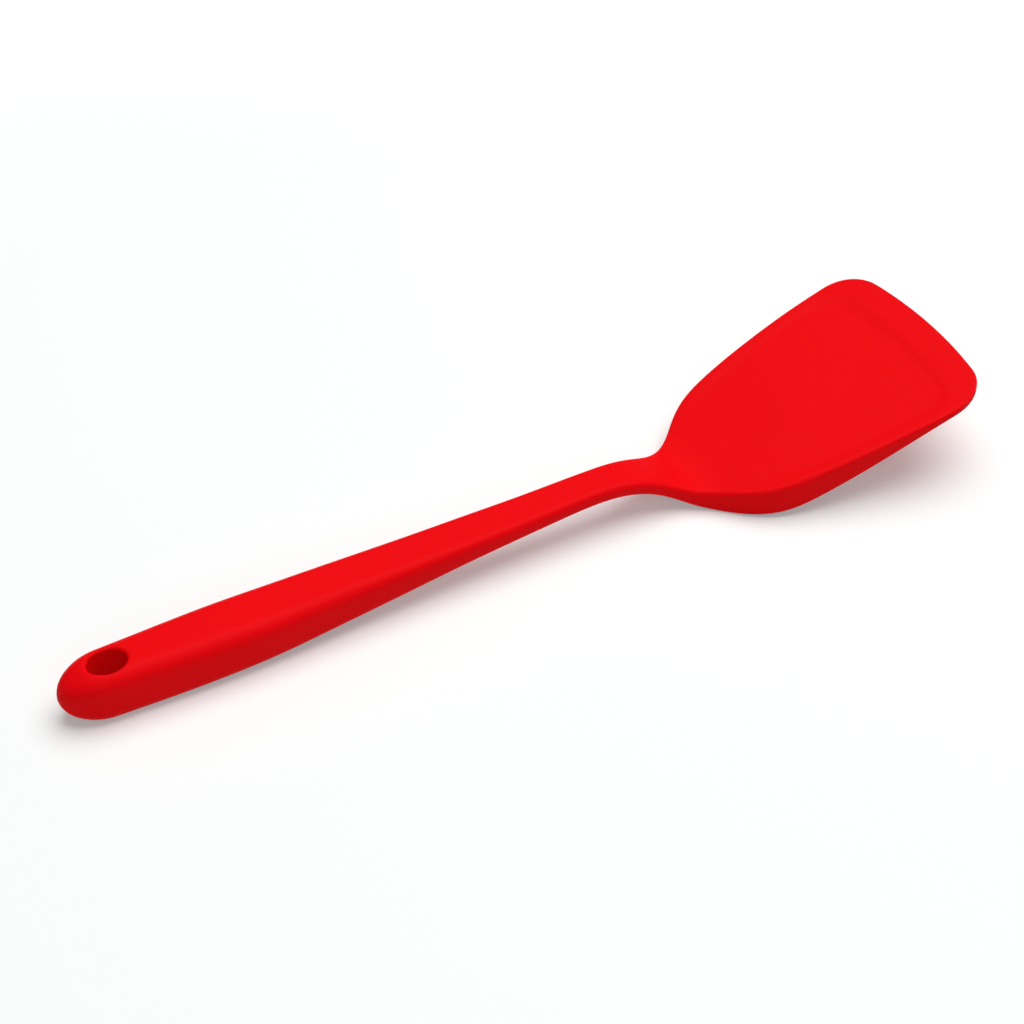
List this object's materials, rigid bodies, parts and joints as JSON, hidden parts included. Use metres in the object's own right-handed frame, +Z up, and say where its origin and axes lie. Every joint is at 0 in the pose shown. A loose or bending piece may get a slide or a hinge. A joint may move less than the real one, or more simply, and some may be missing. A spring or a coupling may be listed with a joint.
{
  "type": "silicone turner",
  "caption": "One-piece red silicone kitchen turner with a cranked neck, wedge blade with a thin flexible lip, and a hang hole in the handle.",
  "frame": {"origin": "on the worktop that the turner rests on, under the middle of its length and width", "axes": "+X from the handle's butt to the blade's lip, +Y across the blade, +Z up from the worktop, with the turner resting on its butt and its heel"},
  "size_m": [0.34, 0.0836, 0.0342],
  "materials": {
    "silicone": "satin, compression-moulded red silicone",
    "nylon": "black glass-filled nylon, matt",
    "steel": "bright-rolled stainless bar",
    "spring_steel": "cold-rolled stainless sheet"
  },
  "bodies": {
    "root": {"silicone_skin": "silicone", "handle_core": "nylon", "spine_bar": "steel", "blade_stiffener": "spring_steel"}
  },
  "joints": []
}
